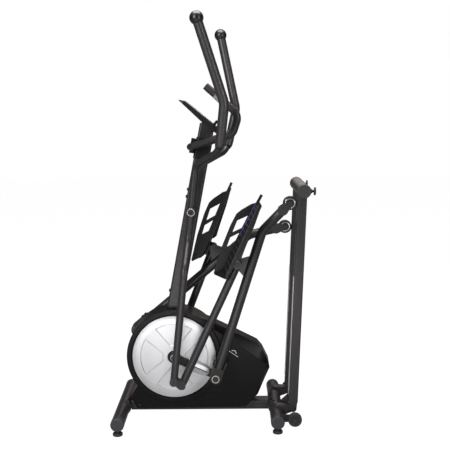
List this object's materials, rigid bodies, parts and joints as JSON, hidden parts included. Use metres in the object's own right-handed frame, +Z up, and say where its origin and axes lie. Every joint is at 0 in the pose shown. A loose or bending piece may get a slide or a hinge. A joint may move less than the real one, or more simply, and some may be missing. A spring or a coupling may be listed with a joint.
{
  "type": "elliptical trainer",
  "caption": "Folding front-drive elliptical trainer, standing folded: mast with swing handles and console, round-disc housing, roller arms with pedals, upright rails, two stabilizers.",
  "frame": {"origin": "on the floor, at the centre of the folded machine's bounding box", "axes": "+X to the rear (towards the folding rails), +Y to the user's right, +Z up"},
  "size_m": [0.8191, 0.627, 1.6437],
  "materials": {
    "frame_paint": "satin metallic charcoal",
    "mast_paint": "satin metallic charcoal",
    "housing_black": "satin black moulding with a bronze-grey sheen on its top facets",
    "disc_silver": "silver lacquered moulding",
    "black_plastic": "fine grained moulding",
    "cap_plastic": "fine grained blue-black moulding",
    "foam": "smooth dense foam",
    "rubber": "moulded rubber",
    "roller_tyre": "moulded polyurethane",
    "bolt_steel": "blackened steel",
    "bright_steel": "ground steel",
    "cast_rim": "painted casting",
    "track_metal": "extruded",
    "sensor_metal": "polished",
    "lens": "dark tinted window"
  },
  "bodies": {
    "base": {"main_frame": "frame_paint", "front_stabilizer": "frame_paint", "rear_stabilizer": "frame_paint", "stabilizer_end_caps": "cap_plastic", "frame_fasteners": "bolt_steel", "mast": "mast_paint", "swing_pivot_axle": "bolt_steel", "fixed_handlebar": "frame_paint", "pulse_sensors": "sensor_metal", "handlebar_clamp_cover": "black_plastic", "console_housing": "black_plastic", "console_lens": "lens", "crank_bearings": "bright_steel", "drive_belt": "rubber", "flywheel_axle": "bright_steel", "housing_left_shell": "housing_black", "housing_right_shell": "housing_black", "rail_hinge_brackets": "frame_paint"},
    "crank": {"crank_axle": "bright_steel", "drive_pulley": "black_plastic", "crank_arm_left": "bolt_steel", "crank_arm_right": "bolt_steel", "crank_disc_left": "disc_silver", "crank_disc_right": "disc_silver"},
    "flywheel": {"flywheel": "cast_rim"},
    "brake": {"brake_magnet_bracket": "bright_steel"},
    "rail": {"rail_frame": "frame_paint", "rail_track_strips": "track_metal", "rail_tube_caps": "cap_plastic"},
    "fold_lock": {"fold_lock_knob": "black_plastic"},
    "button_mode": {"console_button_mode": "rubber"},
    "button_reset": {"console_button_reset": "rubber"},
    "swing_left": {"swing_arm_left": "frame_paint", "swing_arm_bolt_left": "bolt_steel", "upper_handle_left": "frame_paint", "handle_grip_left": "foam", "handle_ball_left": "black_plastic"},
    "arm_left": {"roller_arm_left": "frame_paint", "crank_joint_left": "bolt_steel"},
    "link_left": {"pedal_link_left": "frame_paint", "pedal_left": "black_plastic"},
    "roller_left": {"roller_left": "roller_tyre"},
    "front_foot_left": {"front_foot_left": "rubber"},
    "rear_foot_left": {"rear_foot_left": "rubber"},
    "rail_foot_left": {"rail_foot_left": "rubber"},
    "transport_wheel_left": {"transport_wheel_left": "rubber"},
    "swing_right": {"swing_arm_right": "frame_paint", "swing_arm_bolt_right": "bolt_steel", "upper_handle_right": "frame_paint", "handle_grip_right": "foam", "handle_ball_right": "black_plastic"},
    "arm_right": {"roller_arm_right": "frame_paint", "crank_joint_right": "bolt_steel"},
    "link_right": {"pedal_link_right": "frame_paint", "pedal_right": "black_plastic"},
    "roller_right": {"roller_right": "roller_tyre"},
    "front_foot_right": {"front_foot_right": "rubber"},
    "rear_foot_right": {"rear_foot_right": "rubber"},
    "rail_foot_right": {"rail_foot_right": "rubber"},
    "transport_wheel_right": {"transport_wheel_right": "rubber"}
  },
  "joints": [
    {"name": "rail_fold", "type": "hinge", "parent": "base", "child": "rail", "pos_m": [0.3235, 0, 0.07], "axis": [0, 1, 0], "range_deg": [0, 88.98]},
    {"name": "roller_arm_left_pivot", "type": "hinge", "parent": "base", "child": "arm_left", "pos_m": [0.00863, 0, 0.19409], "axis": [0, 1, 0], "range_deg": [0, 73.47]},
    {"name": "pedal_link_left_pivot", "type": "hinge", "parent": "arm_left", "child": "link_left", "pos_m": [0.10164, 0, 0.67115], "axis": [0, 1, 0], "range_deg": [-16.67, 0]},
    {"name": "swing_handle_left_pivot", "type": "hinge", "parent": "base", "child": "swing_left", "pos_m": [-0.0837, 0, 0.8754], "axis": [0, 1, 0], "range_deg": [-9.98, 0]},
    {"name": "roller_left_spin", "type": "hinge", "parent": "arm_left", "child": "roller_left", "pos_m": [0.31263, -0.116, 0.91274], "axis": [0, 1, 0], "continuous": true},
    {"name": "front_foot_left_screw", "type": "hinge", "parent": "base", "child": "front_foot_left", "pos_m": [-0.3815, -0.237, 0.01], "axis": [0, 0, 1], "continuous": true},
    {"name": "rear_foot_left_screw", "type": "hinge", "parent": "base", "child": "rear_foot_left", "pos_m": [0.257, -0.222, 0.01], "axis": [0, 0, 1], "continuous": true},
    {"name": "rail_foot_left_screw", "type": "hinge", "parent": "rail", "child": "rail_foot_left", "pos_m": [0.36239, -0.178, 0.96616], "axis": [0.9991, 0, -0.0434], "continuous": true},
    {"name": "transport_wheel_left_spin", "type": "hinge", "parent": "base", "child": "transport_wheel_left", "pos_m": [0.327, -0.203, 0.048], "axis": [0, 1, 0], "continuous": true},
    {"name": "roller_arm_right_pivot", "type": "hinge", "parent": "base", "child": "arm_right", "pos_m": [-0.33623, 0, 0.34691], "axis": [0, 1, 0], "range_deg": [0, 51.61]},
    {"name": "pedal_link_right_pivot", "type": "hinge", "parent": "arm_right", "child": "link_right", "pos_m": [-0.00072, 0, 0.69857], "axis": [0, 1, 0], "range_deg": [0, 9.72]},
    {"name": "swing_handle_right_pivot", "type": "hinge", "parent": "base", "child": "swing_right", "pos_m": [-0.0837, 0, 0.8754], "axis": [0, 1, 0], "range_deg": [0, 14.07]},
    {"name": "roller_right_spin", "type": "hinge", "parent": "arm_right", "child": "roller_right", "pos_m": [0.30723, 0.116, 0.78831], "axis": [0, 1, 0], "continuous": true},
    {"name": "front_foot_right_screw", "type": "hinge", "parent": "base", "child": "front_foot_right", "pos_m": [-0.3815, 0.237, 0.01], "axis": [0, 0, 1], "continuous": true},
    {"name": "rear_foot_right_screw", "type": "hinge", "parent": "base", "child": "rear_foot_right", "pos_m": [0.257, 0.222, 0.01], "axis": [0, 0, 1], "continuous": true},
    {"name": "rail_foot_right_screw", "type": "hinge", "parent": "rail", "child": "rail_foot_right", "pos_m": [0.36239, 0.178, 0.96616], "axis": [0.9991, 0, -0.0434], "continuous": true},
    {"name": "transport_wheel_right_spin", "type": "hinge", "parent": "base", "child": "transport_wheel_right", "pos_m": [0.327, 0.203, 0.048], "axis": [0, 1, 0], "continuous": true},
    {"name": "crank_spin", "type": "hinge", "parent": "base", "child": "crank", "pos_m": [-0.1638, 0, 0.2705], "axis": [0, 1, 0], "continuous": true},
    {"name": "flywheel_spin", "type": "hinge", "parent": "base", "child": "flywheel", "pos_m": [0.095, 0, 0.19], "axis": [0, 1, 0], "continuous": true},
    {"name": "brake_adjust", "type": "hinge", "parent": "base", "child": "brake", "pos_m": [-0.022, 0, 0.176], "axis": [0, 1, 0], "range_deg": [-6, 0], "stiffness_Nm_per_rad": 8},
    {"name": "fold_lock_pull", "type": "slide", "parent": "base", "child": "fold_lock", "axis": [0, 1, 0], "range_m": [0, 0.008], "stiffness_N_per_m": 900},
    {"name": "button_mode_press", "type": "slide", "parent": "base", "child": "button_mode", "axis": [-0.6374, 0, -0.7705], "range_m": [0, 0.0012], "stiffness_N_per_m": 700},
    {"name": "button_reset_press", "type": "slide", "parent": "base", "child": "button_reset", "axis": [-0.6374, 0, -0.7705], "range_m": [0, 0.0012], "stiffness_N_per_m": 700}
  ],
  "couplings": [
    {"joint": "roller_arm_left_pivot", "follows": "rail_fold", "ratio": 0.82558},
    {"joint": "pedal_link_left_pivot", "follows": "rail_fold", "ratio": -0.18724},
    {"joint": "swing_handle_left_pivot", "follows": "rail_fold", "ratio": -0.11202},
    {"joint": "roller_arm_right_pivot", "follows": "rail_fold", "ratio": 0.57987},
    {"joint": "pedal_link_right_pivot", "follows": "rail_fold", "ratio": 0.10911},
    {"joint": "swing_handle_right_pivot", "follows": "rail_fold", "ratio": 0.15806},
    {"joint": "crank_spin", "follows": "flywheel_spin", "ratio": 0.16216}
  ]
}
